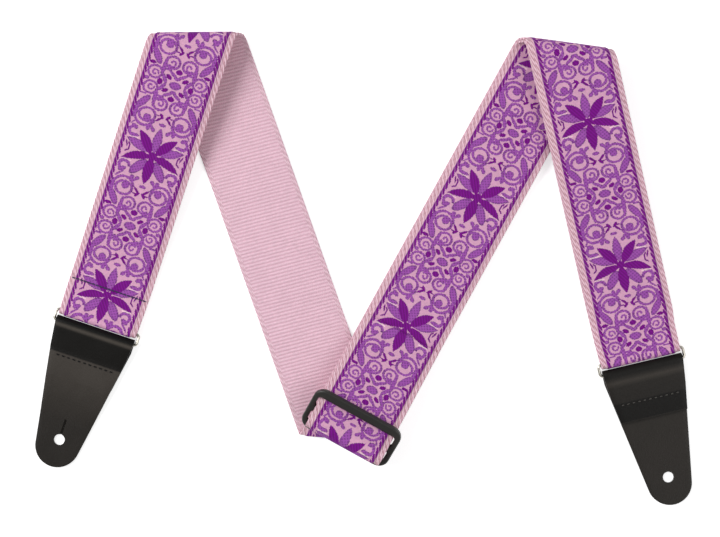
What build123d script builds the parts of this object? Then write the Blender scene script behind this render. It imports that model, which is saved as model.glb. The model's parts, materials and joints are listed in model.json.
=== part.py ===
from build123d import *
import os
from math import asin, atan2, ceil, cos, degrees, hypot, radians, sin, sqrt, tan

# Guitar strap, laid out folded on a flat surface. Millimetres, +Z up.
# The origin is the middle of the left button hole, on the surface that the strap lies on.
# The webbing, with a jacquard ribbon sewn on its face, runs from the left ring up to a fold, down its
# bare back to a second fold, through the slider, up to a third fold and down to the right ring. There
# it turns round the ring and comes back under itself to the slider.

# Webbing and ribbon
webbing_width = 50.0
webbing_thick = 1.5
ribbon_width = 42.6
ribbon_thick = 0.6
layer_gap = 0.2
loop_share = 0.98  # the webbing is pinched to this share of its width inside a ring

# Route of the strap: lengths along its middle, and how far each crease leans from square
strap_heading = 71.5
left_run = 134.3
left_skew = -19.0
left_radius, left_wall = 6.5, 5.0
back_run = 249.1
low_skew = -24.2
low_radius = 2.0
front_run = 261.1
right_skew = -21.1
right_radius, right_wall = 5.5, 5.0
right_run = 142.5
landing_radius = 60.0
anchor_length = 34.0  # flat stretch beside each ring
tab_length = 31.0
anchor_seam = 20.6
under_layer_end = 16.0  # from the low fold to the end of the layer that comes back
under_layer_shift = 1.0  # sideways, of that layer
bend_step = 20.0  # degrees of a bend between two sections
return_lean = 9.0  # slope, in degrees, at which a strip comes back onto itself
return_ease = 12.0  # radius at the foot of that slope

# Rings
ring_wire = 1.8
ring_play = 0.3
ring_side_play = 0.7
ring_corner = 2.0

# Leather button ends
leather_thick = 2.0
leather_inset = 0.3  # on each side, from the webbing's edges
leather_gap = 0.1
flap_length = 34.0
seam_from_fold = 23.0
taper_start = 9.0
hole_from_fold = 72.0
tip_from_hole = 17.0
tip_radius = 13.5
hole_radius = 3.3
slit_length = 9.5
slit_width = 0.4

# Slider
slider_tilt = 30.0
slider_width = 58.6
slider_slot = 51.8
slider_thick = 3.6
front_bar, front_slot, middle_bar, rear_slot, rear_bar = 6.0, 7.0, 4.0, 8.0, 5.0
slider_corner = 7.0
slot_corner = 2.0
bar_round, rim_round = 1.6, 1.1
slider_from_fold = 5.5
slider_play = 0.3
crown_radius = 5.8  # the webbing's rounded back over the middle bar
crown_lean = 115.0
crown_rise = 1.0
crown_start = 60.0
crown_lead = 1.5
tail_slope = 12.0
tail_ease = 12.0
tail_flat = 8.0
loop_leg, loop_tab, loop_seam = 22.0, 26.0, 6.0
loop_converge = 6.0
loop_gap = 0.3  # between the sewn loop and the webbing that passes over it

# Thread
thread_radius = 0.42
anchor_stitch, anchor_pitch = 1.9, 2.5
leather_stitch, leather_pitch, leather_margin = 1.5, 3.4, 5.0
seam_width, seam_height, seam_gap = 0.5, 0.4, 0.1

# Worked out from the sizes above
leather_width = webbing_width - 2 * leather_inset
mid_height = ribbon_thick + webbing_thick / 2  # middle of webbing that lies face down
face_height = webbing_thick / 2 + ribbon_thick
layer_step = webbing_thick + layer_gap
loop_radius = ring_wire / 2 + ring_play + webbing_thick / 2
ring_height = mid_height + loop_radius
ring_reach = 2 * (loop_radius + face_height) + ring_play  # between the middles of the ring's long sides
leather_loop_radius = ring_height - leather_thick / 2
hole_to_loop = hole_from_fold - (leather_loop_radius + leather_thick / 2) + ring_reach


class Route:
    """Walks along the middle of a strip, one plane at a time: X across, Y out of the face, Z ahead."""

    def __init__(self, start):
        self.place = start
        self.stations = []
        self.twist = 0.0

    def mark(self, skew=0.0, share=1.0):
        """Notes a crease line here, as (plane, skew, share of the width, twist so far)."""
        self.stations.append((self.place, skew, share, self.twist))

    def straight(self, length):
        self.place = self.place.offset(length)

    def bend(self, angle, radius, skew=0.0, share=1.0):
        """Rolls the strip round a cylinder whose axis leans by skew. A positive angle turns to +Y."""
        side = 1 if angle > 0 else -1
        steps = ceil(abs(angle) / bend_step)
        step = abs(angle) / steps
        lean = radians(skew)
        crease = Vector(cos(lean), 0, -sin(lean))
        middle = Vector(0, side * radius, 0)
        turn = Axis((0, 0, 0), crease * -side)
        slip = crease * (-radius * radians(step) * tan(lean))
        move = Location(middle - middle.rotate(turn, step) + slip, turn.direction, step)
        self.mark(skew, share)
        for _ in range(steps):
            self.place = Plane(self.place.location * move)
            self.twist += side * radians(step) * sin(lean)
            self.mark(skew, share)

    def come_back(self, radius, step, share=1.0):
        """Turns round a bar and comes down onto the layer that it left, a step above it."""
        turn = radians(return_lean)
        drop = 2 * radius - step
        run = (drop - (radius + return_ease) * (1 - cos(turn))) / sin(turn)
        self.bend(180 + return_lean, radius, share=share)
        self.straight(run)
        self.bend(-return_lean, return_ease)
        return radius * sin(turn) + run * cos(turn) + return_ease * sin(turn)

    def ring_loop(self):
        """Turns the webbing round a ring's bar."""
        return self.come_back(loop_radius, layer_step, loop_share)


def crease_plane(place, skew):
    """The plane across a strip along one of its crease lines."""
    lean = radians(skew)
    along = place.x_dir * cos(lean) - place.z_dir * sin(lean)
    ahead = place.x_dir * sin(lean) + place.z_dir * cos(lean)
    return Plane(origin=place.origin, x_dir=along, z_dir=ahead)


def strip(stations, width, low, high, inset=0.0):
    """Lofts a flat strip through the stations, between two heights over the webbing's middle."""
    sections = []
    for place, skew, share, _ in stations:
        stretch = share / cos(radians(skew))
        with BuildSketch(crease_plane(place, skew)) as section:
            with Locations((inset * stretch, (low + high) / 2)):
                Rectangle(width * stretch, high - low)
        sections.append(section.sketch)
    loft(sections, ruled=True)


def fold_slope(run, skew, radius, climb):
    """Angle at which a run climbs from the surface to the top of its fold."""
    along, across = run * cos(radians(skew)), landing_radius + radius
    return degrees(asin((climb - landing_radius) / hypot(along, across)) + atan2(across, along))


def ahead(plane, length, side=0.0, height=0.0):
    """A point given in a strip's own plane: along it, across it and out of its face."""
    return plane.origin + plane.z_dir * length + plane.x_dir * side + plane.y_dir * height


def across_row(count, pitch):
    return [pitch * (i - (count - 1) / 2) for i in range(count)]


# The strap's route, from the end of the tab at the left ring
heading = Vector(cos(radians(strap_heading)), sin(radians(strap_heading)), 0)
sideways = Vector(0, 0, 1).cross(heading)
left_bar = heading * hole_to_loop + Vector(0, 0, ring_height)
tab_end = left_bar + heading * tab_length - Vector(0, 0, loop_radius)
strap = Route(Plane(origin=tab_end, x_dir=sideways * -1, z_dir=heading * -1))
strap.mark()
strap.straight(tab_length)
loop_run = strap.ring_loop()
left_anchor = strap.place.offset(anchor_seam - loop_run)
strap.straight(anchor_length - loop_run)
left_climb = left_wall * cos(radians(left_skew)) + left_radius - layer_step
left_slope = fold_slope(left_run, left_skew, left_radius, left_climb)
strap.bend(-left_slope, landing_radius, left_skew)
strap.straight(left_run)
strap.bend(90 + left_slope, left_radius, left_skew)
strap.straight(left_wall)
strap.bend(90, left_radius, left_skew)
strap.straight(back_run)
strap.bend(180, low_radius, low_skew)
slider_base = strap.place.offset(slider_from_fold)
strap.straight(under_layer_end)
doubled_from = len(strap.stations)
strap.mark()
strap.straight(front_run - under_layer_end)
strap.bend(-90, right_radius, right_skew)
strap.straight(right_wall)
right_climb = 2 * low_radius + right_wall * cos(radians(right_skew)) + right_radius
right_slope = fold_slope(right_run, right_skew, right_radius, right_climb)
strap.bend(-90 - right_slope, right_radius, right_skew)
strap.straight(right_run)
strap.bend(right_slope, landing_radius, right_skew)
strap.straight(anchor_length - loop_run)
doubled_to = len(strap.stations)
strap.mark()
strap.straight(loop_run)
right_bar_plane = strap.place
strap.ring_loop()
returning = []
for place, skew, share, twist in reversed(strap.stations[doubled_from:doubled_to]):
    shift = under_layer_shift - layer_step * (strap.stations[doubled_to][3] - twist)
    along = crease_plane(place, skew).x_dir * (shift / cos(radians(skew)))
    origin = place.origin + place.y_dir * layer_step + along
    back = Plane(origin=origin, x_dir=place.x_dir, z_dir=place.z_dir * -1)
    returning.append((back, -skew, share, twist))
strap.stations += returning

with BuildPart() as webbing:
    strip(strap.stations, webbing_width, -webbing_thick / 2, webbing_thick / 2)
webbing.part.label = "webbing"

with BuildPart() as ribbon:
    strip(strap.stations, ribbon_width, -face_height, -webbing_thick / 2)
ribbon.part.label = "jacquard_ribbon"

seams = []
for side in (-1, 1):
    with BuildPart() as seam:
        inset = side * (ribbon_width / 2 + seam_gap + seam_width / 2)
        strip(strap.stations, seam_width, -webbing_thick / 2 - seam_height, -webbing_thick / 2, inset)
    seams.append(seam.part.solid())
ribbon_seams = Compound(label="ribbon_seams", children=seams)


def thread(points):
    """Stitches as short round bars, each given by its middle and its direction."""
    stitches = []
    for middle, direction, length in points:
        with BuildPart(Plane(origin=middle, z_dir=direction)) as stitch:
            Cylinder(thread_radius, length)
            fillet(stitch.edges().filter_by(GeomType.CIRCLE), thread_radius * 0.6)
        stitches.append(stitch.part.solid())
    return stitches


# Navy lockstitch that sews the tab at the left ring
anchor_count = int(webbing_width / anchor_pitch) - 1
anchor_row = [
    (ahead(left_anchor, 0, side, -face_height - thread_radius), left_anchor.x_dir, anchor_stitch)
    for side in across_row(anchor_count, anchor_pitch)
]
anchor_stitches = Compound(label="anchor_stitches", children=thread(anchor_row))


def ring(bar, towards, label):
    """A wire ring with one long side on the bar's axis and the other one towards the leather end."""
    middle = bar + towards * (ring_reach / 2)
    plane = Plane(origin=middle, x_dir=towards, z_dir=(0, 0, 1))
    end = (webbing_width + ring_side_play + ring_wire) / 2
    side = ring_reach / 2
    with BuildPart() as wire:
        with BuildLine(plane) as half:
            FilletPolyline((0, end), (side, end), (side, -end), (0, -end), radius=ring_corner)
        with BuildSketch(Plane(origin=half.line @ 0, z_dir=half.line % 0)):
            Circle(ring_wire / 2)
        sweep(path=half.line)
        mirror(about=Plane(origin=middle, z_dir=towards))
    wire.part.label = label
    return wire.part


def leather_end(bar, towards, flap_on_top, label):
    """A leather strip folded round the ring and sewn to itself, tapering to the button hole."""
    fold_edge = leather_loop_radius + leather_thick / 2
    far = hole_from_fold + tip_from_hole
    flap_step = leather_thick + leather_gap
    across = Vector(0, 0, 1).cross(towards)
    base = bar - Vector(0, 0, ring_height)
    start = flap_length if not flap_on_top else far + leather_thick
    place = base + towards * (start - fold_edge) + Vector(0, 0, leather_thick / 2)
    route = Route(Plane(origin=place, x_dir=across * -1, z_dir=towards * -1))
    route.mark()
    route.straight(start - fold_edge)
    landed = route.come_back(leather_loop_radius, flap_step)
    if flap_on_top:
        route.straight(flap_length - fold_edge - landed)
    else:
        turn = radians(return_lean)
        route.straight(flap_length - fold_edge - landed + leather_thick / 2)
        route.bend(return_lean, return_ease)
        route.straight((flap_step - 2 * return_ease * (1 - cos(turn))) / sin(turn))
        route.bend(-return_lean, return_ease)
        route.straight(far)
    route.mark()
    plan = Plane(origin=base - Vector(0, 0, leather_thick), x_dir=towards, z_dir=(0, 0, 1))
    with BuildPart() as leather:
        strip(route.stations, leather_width + 2 * leather_thick, -leather_thick / 2, leather_thick / 2)
        with BuildSketch(plan):
            with Locations((hole_from_fold + tip_from_hole - tip_radius - fold_edge, 0)):
                Circle(tip_radius)
            with Locations(((taper_start - leather_thick) / 2 - fold_edge, 0)):
                Rectangle(taper_start + leather_thick, leather_width)
            make_hull()
            with Locations((hole_from_fold - fold_edge, 0)):
                Circle(hole_radius, mode=Mode.SUBTRACT)
            with Locations((hole_from_fold - fold_edge - (hole_radius + slit_length) / 2, 0)):
                Rectangle(hole_radius + slit_length, slit_width, mode=Mode.SUBTRACT)
        extrude(amount=4 * ring_height, mode=Mode.INTERSECT)
    leather.part.label = label
    top = leather_thick + flap_step
    seam_at = base + towards * (seam_from_fold - fold_edge) + Vector(0, 0, top + thread_radius)
    half_width = leather_width / 2 - leather_margin
    row = across_row(int(2 * half_width / leather_pitch), leather_pitch)
    stitches = thread([(seam_at + across * side, across, leather_stitch) for side in row])
    return leather.part, Compound(label=label + "_stitches", children=stitches)


towards_left = heading * -1
left_ring = ring(left_bar, towards_left, "left_ring")
left_leather_bar = left_bar + towards_left * ring_reach
left_end, left_stitches = leather_end(left_leather_bar, towards_left, False, "left_end")

towards_right = Vector(right_bar_plane.z_dir.X, right_bar_plane.z_dir.Y, 0).normalized()
right_bar = Vector(right_bar_plane.origin.X, right_bar_plane.origin.Y, ring_height)
right_ring = ring(right_bar, towards_right, "right_ring")
right_leather_bar = right_bar + towards_right * ring_reach
right_end, right_stitches = leather_end(right_leather_bar, towards_right, True, "right_end")

# The slider's own plane: X along the strap and up by the tilt, Y across it, Z out of its face
bar_half = slider_thick / 2
wrap_radius = bar_half + slider_play + face_height
rear_edge = -(middle_bar / 2 + rear_slot + bar_half)
front_edge = middle_bar / 2 + front_slot + bar_half
rear_end = middle_bar / 2 + rear_slot + rear_bar
tilt = radians(slider_tilt)
low_corner = (rear_end - rim_round) * sin(tilt) + (bar_half - rim_round) * cos(tilt) + rim_round
slider_rise = face_height + slider_play + low_corner
along, up = slider_base.z_dir, slider_base.y_dir * -1
slider_plane = Plane(
    origin=slider_base.origin + up * slider_rise,
    x_dir=along * cos(tilt) + up * sin(tilt),
    z_dir=up * cos(tilt) - along * sin(tilt),
)

slider_length = front_bar + front_slot + middle_bar + rear_slot + rear_bar
slider_shift = (front_bar + front_slot - rear_slot - rear_bar) / 2
with BuildPart() as slider:
    with BuildSketch(slider_plane):
        with Locations((slider_shift, 0)):
            RectangleRounded(slider_length, slider_width, slider_corner)
        with Locations((middle_bar / 2 + front_slot / 2, 0)):
            RectangleRounded(front_slot, slider_slot, slot_corner, mode=Mode.SUBTRACT)
        with Locations((-middle_bar / 2 - rear_slot / 2, 0)):
            RectangleRounded(rear_slot, slider_slot, slot_corner, mode=Mode.SUBTRACT)
    extrude(amount=bar_half, both=True)
    flats = slider.faces().filter_by(Axis(slider_plane.origin, slider_plane.z_dir))
    fillet([edge for flat in flats for wire in flat.inner_wires() for edge in wire.edges()], bar_round)
    flats = slider.faces().filter_by(Axis(slider_plane.origin, slider_plane.z_dir))
    fillet([edge for flat in flats for edge in flat.outer_wire().edges()], rim_round)
slider.part.label = "slider"


def slider_route(x, y, angle):
    """Starts a strip in the slider's side view, at x along and y out of it, heading up by angle."""
    origin = slider_plane.origin + slider_plane.x_dir * x + slider_plane.z_dir * y
    turn = radians(angle)
    heading_there = slider_plane.x_dir * cos(turn) + slider_plane.z_dir * sin(turn)
    return Route(Plane(origin=origin, x_dir=slider_base.x_dir, z_dir=heading_there))


def tangent(dx, dy, radii):
    """Length and angle of the straight that leaves one circle and joins the next on its other side."""
    reach = hypot(dx, dy)
    return sqrt(reach**2 - radii**2), degrees(atan2(dy, dx) - asin(radii / reach))


# The stretch of strap inside the slider: behind the rear bar, over the middle bar, under the front bar
lean = radians(crown_lean)
crown_x = rear_edge + crown_rise * cos(lean) + (wrap_radius + crown_radius) * sin(lean)
crown_y = crown_rise * sin(lean) - (wrap_radius + crown_radius) * cos(lean)
down_run, down_angle = tangent(front_edge - crown_x, -crown_y, crown_radius + wrap_radius)
front_angle = -slider_tilt - tail_slope
start = radians(crown_start)
crown = slider_route(
    rear_edge + wrap_radius * sin(start) - crown_lead * cos(start),
    -wrap_radius * cos(start) - crown_lead * sin(start),
    crown_start,
)
crown.mark()
crown.straight(crown_lead)
crown.bend(-(crown_lean - crown_start), wrap_radius)
crown.straight(crown_rise)
crown.bend(crown_lean - down_angle, crown_radius)
crown.straight(down_run)
crown.bend(-(front_angle - down_angle), wrap_radius)
slope = radians(tail_slope)
above_strap = (crown.place.origin - slider_base.origin).dot(up)
tail_height = face_height + slider_play + webbing_thick / 2
tail_drop = above_strap - tail_height - tail_ease * (1 - cos(slope))
crown.straight(tail_drop / sin(slope))
crown.bend(-tail_slope, tail_ease)
crown.straight(tail_flat)
crown.mark()

with BuildPart() as crown_webbing:
    strip(crown.stations, webbing_width, -webbing_thick / 2, webbing_thick / 2)
crown_webbing.part.label = "crown_webbing"

with BuildPart() as crown_ribbon:
    strip(crown.stations, ribbon_width, -face_height, -webbing_thick / 2)
crown_ribbon.part.label = "crown_ribbon"

# The sewn loop on the middle bar, its ribbon against the bar
bar_corner = hypot(middle_bar / 2 - bar_round, bar_half - bar_round) + bar_round
loop_round = bar_corner + slider_play + face_height
outer_wrap = wrap_radius + webbing_thick + loop_gap
leg_run, leg_angle = tangent(front_edge, 0, loop_round + outer_wrap)
tab_angle = 180 + front_angle + loop_converge
tab_turn = radians(tab_angle)
sewn = slider_route(
    -loop_round * sin(tab_turn) - loop_tab * cos(tab_turn),
    loop_round * cos(tab_turn) - loop_tab * sin(tab_turn),
    tab_angle,
)
sewn.mark()
sewn.straight(loop_tab)
sewn.bend(tab_angle - leg_angle, loop_round)
sewn.straight(leg_run)
sewn.bend(-(front_angle - leg_angle), outer_wrap)
sewn.straight(loop_leg)
sewn.mark()

with BuildPart() as loop_webbing:
    strip(sewn.stations, webbing_width, -webbing_thick / 2, webbing_thick / 2)
loop_webbing.part.label = "loop_webbing"

with BuildPart() as loop_ribbon:
    strip(sewn.stations, ribbon_width, webbing_thick / 2, face_height)
loop_ribbon.part.label = "loop_ribbon"

# Navy stitches under the loop's tab, and the one that shows on its edge
tab_plane = sewn.stations[0][0].offset(loop_seam)
loop_row = [
    (ahead(tab_plane, 0, side, -webbing_thick / 2 - thread_radius), tab_plane.x_dir, anchor_stitch)
    for side in across_row(anchor_count, anchor_pitch)
]
loop_stitches = Compound(label="loop_stitches", children=thread(loop_row))

os.makedirs("parts", exist_ok=True)
pieces = [
    webbing.part,
    ribbon.part,
    ribbon_seams,
    anchor_stitches,
    left_ring,
    left_end,
    left_stitches,
    right_ring,
    right_end,
    right_stitches,
    slider.part,
    crown_webbing.part,
    crown_ribbon.part,
    loop_webbing.part,
    loop_ribbon.part,
    loop_stitches,
]
for piece in pieces:
    export_step(piece, f"parts/{piece.label}.step")
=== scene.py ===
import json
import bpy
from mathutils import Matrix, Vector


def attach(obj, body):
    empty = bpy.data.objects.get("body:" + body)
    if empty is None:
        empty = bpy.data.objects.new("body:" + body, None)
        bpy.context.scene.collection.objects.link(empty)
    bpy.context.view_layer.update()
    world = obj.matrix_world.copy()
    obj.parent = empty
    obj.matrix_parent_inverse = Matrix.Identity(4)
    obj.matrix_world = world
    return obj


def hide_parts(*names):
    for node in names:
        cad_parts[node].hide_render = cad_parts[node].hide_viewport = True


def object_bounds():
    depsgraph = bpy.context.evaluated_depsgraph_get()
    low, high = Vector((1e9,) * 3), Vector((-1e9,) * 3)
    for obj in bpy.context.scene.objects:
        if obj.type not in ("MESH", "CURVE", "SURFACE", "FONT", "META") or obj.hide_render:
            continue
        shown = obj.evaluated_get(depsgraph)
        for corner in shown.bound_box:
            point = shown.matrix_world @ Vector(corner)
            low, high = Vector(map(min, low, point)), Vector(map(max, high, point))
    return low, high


bl_info = {
    "name": "Guitar Strap",
    "version": (1, 0, 0),
    "blender": (4, 5, 0),
    "location": "View3D > Sidebar > Guitar Strap",
    "description": "Dresses a folded guitar strap: webbing, jacquard ribbon, leather ends, rings and slider",
    "category": "Add Mesh",
}

from collections import namedtuple
from functools import partialmethod
from math import asin, atan2, ceil, cos, hypot, pi, radians, sin, sqrt, tan

import bpy
from bpy.props import FloatProperty, FloatVectorProperty, PointerProperty
from bpy.types import Operator, Panel, PropertyGroup
from mathutils import Matrix, Vector

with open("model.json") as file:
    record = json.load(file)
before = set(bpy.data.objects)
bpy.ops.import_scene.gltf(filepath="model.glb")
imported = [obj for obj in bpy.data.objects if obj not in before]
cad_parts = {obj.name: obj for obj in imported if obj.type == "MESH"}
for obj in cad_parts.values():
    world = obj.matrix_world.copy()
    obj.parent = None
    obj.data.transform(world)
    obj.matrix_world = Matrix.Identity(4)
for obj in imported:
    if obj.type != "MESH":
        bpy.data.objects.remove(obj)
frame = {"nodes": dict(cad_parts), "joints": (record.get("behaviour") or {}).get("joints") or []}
cad_low, cad_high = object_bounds()
joints = {joint["name"]: joint for joint in frame["joints"]}
UP = Vector((0, 0, 1))
BEND_STEP = radians(7)  # the most that a strip turns from one crease line to the next
ROUND_OVER = radians(50)  # edges that turn by more than this are rounded
SMOOTH_UNDER = radians(40)  # faces that meet at less than this are shaded as one
TINY = 1e-6  # crease lines that are closer than this are one

# A crease line across a strip. Its plane has X across, Y out of the back and Z ahead. It leans by skew, keeps a
# share of the strip's width, and lies so far along it. twist is how far the strip has turned in its own plane.
Row = namedtuple("Row", "place skew share along twist")


def length(name, millimetres, text):
    """A size kept in metres and given here in millimetres."""
    return FloatProperty(name=name, description=text, default=millimetres / 1000, unit="LENGTH", precision=5)


def angle(name, degrees, text):
    return FloatProperty(name=name, description=text, default=radians(degrees), unit="ROTATION")


def colour(name, shade, text):
    return FloatVectorProperty(
        name=name, description=text, default=(*shade, 1), size=4, subtype="COLOR", min=0, max=1
    )


def strength(name, default, text):
    return FloatProperty(name=name, description=text, default=default, min=0)


class StrapSizes(PropertyGroup):
    webbing_width: length("Webbing width", 50, "Width of the woven webbing")
    webbing_thick: length("Webbing thickness", 1.5, "Thickness of one layer of webbing")
    ribbon_width: length("Ribbon width", 42.6, "Width of the jacquard ribbon")
    ribbon_thick: length("Ribbon thickness", 0.6, "Thickness of the jacquard ribbon")
    layer_gap: length("Layer gap", 0.2, "Air between two layers of webbing")
    tab_length: length("Tab length", 31, "Webbing turned back at the left ring")
    anchor_length: length("Anchor length", 34, "Flat stretch beside each ring")
    left_run: length("Left run", 134.3, "Webbing between the left ring and the first fold")
    left_radius: length("Left fold radius", 6.5, "Roundness of the first fold")
    left_wall: length("Left fold wall", 5, "Flat part at the outside of the first fold")
    left_skew: angle("Left fold skew", -19, "How far the first fold leans from square")
    back_run: length("Back run", 249.1, "Webbing between the first and second folds")
    low_radius: length("Low fold radius", 2, "Roundness of the second fold")
    low_skew: angle("Low fold skew", -24.2, "How far the second fold leans from square")
    front_run: length("Front run", 261.1, "Webbing between the second and third folds")
    right_radius: length("Right fold radius", 5.5, "Roundness of the third fold")
    right_wall: length("Right fold wall", 5, "Flat part at the outside of the third fold")
    right_skew: angle("Right fold skew", -21.1, "How far the third fold leans from square")
    right_run: length("Right run", 142.5, "Webbing between the third fold and the right ring")
    landing_radius: length("Landing radius", 60, "Gentle bend where a sloping run comes down")
    under_layer_end: length("Under layer end", 16, "From the second fold to the end of the lower layer")
    under_layer_shift: length("Under layer shift", 1, "How far the lower layer lies to one side")
    ring_wire: length("Ring wire", 1.8, "Diameter of the rings' wire")
    ring_play: length("Ring play", 0.3, "Room between a ring and what goes round it")
    return_ease: length("Return ease", 12, "Roundness where a strip comes back onto itself")
    return_lean: angle("Return slope", 9, "Slope at which a strip comes back onto itself")
    edge_round: length("Edge rounding", 0.5, "Rounding of the webbing's edges")
    pattern_repeat: length("Pattern repeat", 88.9, "Length of one repeat of the ribbon's pattern")
    pattern_start: length("Pattern start", 54, "From the end of the tab to the middle of a flower")
    front_shift: length("Front pattern shift", 16.1, "Pattern taken up in the back run")
    right_shift: length("Right pattern shift", 0.8, "Pattern taken up by the right ring")


class EndSizes(PropertyGroup):
    leather_thick: length("Leather thickness", 2, "Thickness of one layer of leather")
    leather_width: length("Leather width", 49.4, "Width of a leather end at its fold")
    leather_gap: length("Leather gap", 0.1, "Air between the two layers of leather")
    flap_length: length("Flap length", 34, "Leather turned back round the ring")
    step_lean: angle("Step lean", 5, "Slope of the leather down from the flap under it")
    taper_start: length("Taper start", 9, "From the fold to where the sides begin to taper")
    hole_from_fold: length("Hole from fold", 72, "From the fold to the middle of the button hole")
    tip_from_hole: length("Tip from hole", 17, "From the button hole's middle to the tip")
    tip_radius: length("Tip radius", 13.5, "Roundness of the tip")
    hole_radius: length("Hole radius", 3.3, "Radius of the button hole")
    slit_length: length("Slit length", 9.5, "Length of the slit beside the button hole")
    slit_width: length("Slit width", 0.02, "Width of the closed slit beside the button hole")
    slit_opening: length("Slit opening", 1.4, "Width of the slit on the leather's smooth side")
    edge_round: length("Edge rounding", 0.35, "Rounding of the leather's cut edges")


class SliderSizes(PropertyGroup):
    tilt: angle("Tilt", 30, "How far the slider stands up at its front bar")
    thick: length("Thickness", 3.6, "Thickness of the slider")
    front_slot: length("Front slot", 7, "Width of the front slot")
    middle_bar: length("Middle bar", 4, "Width of the middle bar")
    rear_slot: length("Rear slot", 8, "Width of the rear slot")
    rear_bar: length("Rear bar", 5, "Width of the rear bar")
    bar_round: length("Bar rounding", 1.6, "Rounding of the slots' edges")
    rim_round: length("Rim rounding", 1.1, "Rounding of the outer edges")
    from_fold: length("From fold", 5.5, "From the second fold to the middle bar")
    play: length("Play", 0.3, "Room between the slider and the webbing")
    crown_start: angle("Crown start", 60, "Direction of the webbing behind the rear bar")
    crown_lead: length("Crown lead", 1.5, "Straight webbing before the rear bar")
    crown_lean: angle("Crown lean", 115, "Direction of the webbing above the rear bar")
    crown_rise: length("Crown rise", 1, "Straight webbing above the rear bar")
    crown_radius: length("Crown radius", 5.8, "Roundness of the webbing over the middle bar")
    tail_slope: angle("Tail slope", 12, "Slope at which the webbing leaves the slider")
    tail_ease: length("Tail ease", 12, "Roundness where the webbing lands on the strap")
    tail_flat: length("Tail flat", 8, "Webbing that lies on the strap")
    loop_leg: length("Loop leg", 22, "Upper layer of the sewn loop")
    loop_tab: length("Loop tab", 26, "Lower layer of the sewn loop")
    loop_gap: length("Loop gap", 0.3, "Air between the sewn loop and the webbing over it")
    loop_converge: angle("Loop convergence", 6, "How far the loop's layers close up")


class StrapColours(PropertyGroup):
    webbing_pale: colour("Webbing", (0.86, 0.60, 0.69), "Pale cords of the webbing")
    webbing_line: colour("Webbing lines", (0.68, 0.38, 0.48), "Lines between the webbing's cords")
    webbing_deep: colour("Selvedge lines", (0.48, 0.18, 0.24), "Deep lines in the webbing's selvedges")
    ground: colour("Ribbon ground", (0.68, 0.365, 0.525), "Ground of the jacquard ribbon")
    lilac: colour("Ribbon lilac", (0.40, 0.095, 0.48), "Lilac threads of the jacquard ribbon")
    purple: colour("Ribbon purple", (0.22, 0.003, 0.275), "Dark threads of the jacquard ribbon")
    thread_dark: colour("Black thread", (0.001, 0.001, 0.001), "Black thread, pulled down into the leather")
    thread_light: colour("Black thread, lit side", (0.16, 0.15, 0.135), "Raised plies of the black thread")
    navy: colour("Navy thread", (0.006, 0.003, 0.03), "Thread that sews the webbing")
    navy_light: colour("Navy thread, lit side", (0.12, 0.09, 0.19), "Raised plies of the navy thread")
    leather: colour("Leather", (0.0035, 0.0032, 0.0028), "Black leather, in its grain")
    # The lighter leather shows on the grain's high spots and is also the painted highlight band past each fold
    leather_highlight_and_grain: colour("Leather, worn", (0.062, 0.053, 0.045), "Black leather, on its high spots")
    plastic: colour("Slider plastic", (0.014, 0.014, 0.012), "Moulded plastic of the slider")
    plastic_light: colour("Slider plastic, worn", (0.026, 0.025, 0.022), "Rubbed plastic of the slider")
    metal: colour("Ring metal", (0.46, 0.43, 0.38), "Plated wire of the rings")
    metal_light: colour("Ring metal, bright", (0.68, 0.65, 0.58), "Bright parts of the rings")


class StageSettings(PropertyGroup):
    camera_height: length("Camera height", 1300, "Camera's height over the floor")
    camera_x: length("Camera X", 182.6, "Camera's place along X")
    camera_y: length("Camera Y", 103.9, "Camera's place along Y")
    view_width: length("View width", 437.8, "Width of floor that the camera sees")
    floor_size: length("Floor size", 3000, "Width of the floor")
    floor_drop: length("Floor drop", 0.2, "Gap under the strap")
    floor_glow: strength("Floor glow", 0.6, "How white the floor looks to the camera")
    sky: strength("Sky", 0.32, "Strength of the light from all sides")
    main_lamp: strength("Main lamp", 38, "Power of the main lamp, in watts")
    second_lamp: strength("Second lamp", 15, "Power of the second lamp, in watts")


# ---------------------------------------------------------------- folding


class Route:
    """Walks along the middle of a strip and notes each crease line."""

    def __init__(self, place, strap):
        self.place = place
        self.strap = strap
        self.rows = []
        self.along = 0.0
        self.twist = 0.0

    def mark(self, skew=0.0, share=1.0):
        """Notes a crease line here, unless there is one already."""
        if not self.rows or self.along - self.rows[-1].along > TINY:
            self.rows.append(Row(self.place.copy(), skew, share, self.along, self.twist))

    def straight(self, distance):
        self.place = self.place @ Matrix.Translation((0, 0, distance))
        self.along += distance

    def bend(self, turn, radius, skew=0.0, share=1.0):
        """Rolls the strip round a cylinder whose axis leans by skew. A positive turn goes to +Y."""
        side = 1 if turn > 0 else -1
        steps = ceil(abs(turn) / BEND_STEP)
        step = abs(turn) / steps
        crease = Vector((cos(skew), 0, -sin(skew)))
        middle = Vector((0, side * radius, 0))
        slip = crease * (-radius * step * tan(skew))
        roll = Matrix.Rotation(step, 4, crease * -side)
        move = Matrix.Translation(middle + slip) @ roll @ Matrix.Translation(-middle)
        self.mark(skew, share)
        for _ in range(steps):
            self.place = self.place @ move
            self.along += radius * step / cos(skew)
            self.twist += side * step * sin(skew)
            self.mark(skew, share)

    def come_back(self, radius, step, share=1.0):
        """Turns round a bar and comes down onto the layer that it left, a step above it."""
        lean, ease = self.strap.return_lean, self.strap.return_ease
        run = (2 * radius - step - (radius + ease) * (1 - cos(lean))) / sin(lean)
        self.bend(pi + lean, radius, share=share)
        self.straight(run)
        self.bend(-lean, ease)
        return radius * sin(lean) + run * cos(lean) + ease * sin(lean)


def plane(origin, across, ahead):
    """A matrix whose X, Y and Z are across a strip, out of its back and ahead."""
    across, ahead = across.normalized(), ahead.normalized()
    back = ahead.cross(across)
    turn = Matrix((across, back, ahead)).transposed()
    return Matrix.Translation(origin) @ turn.to_4x4()


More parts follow.
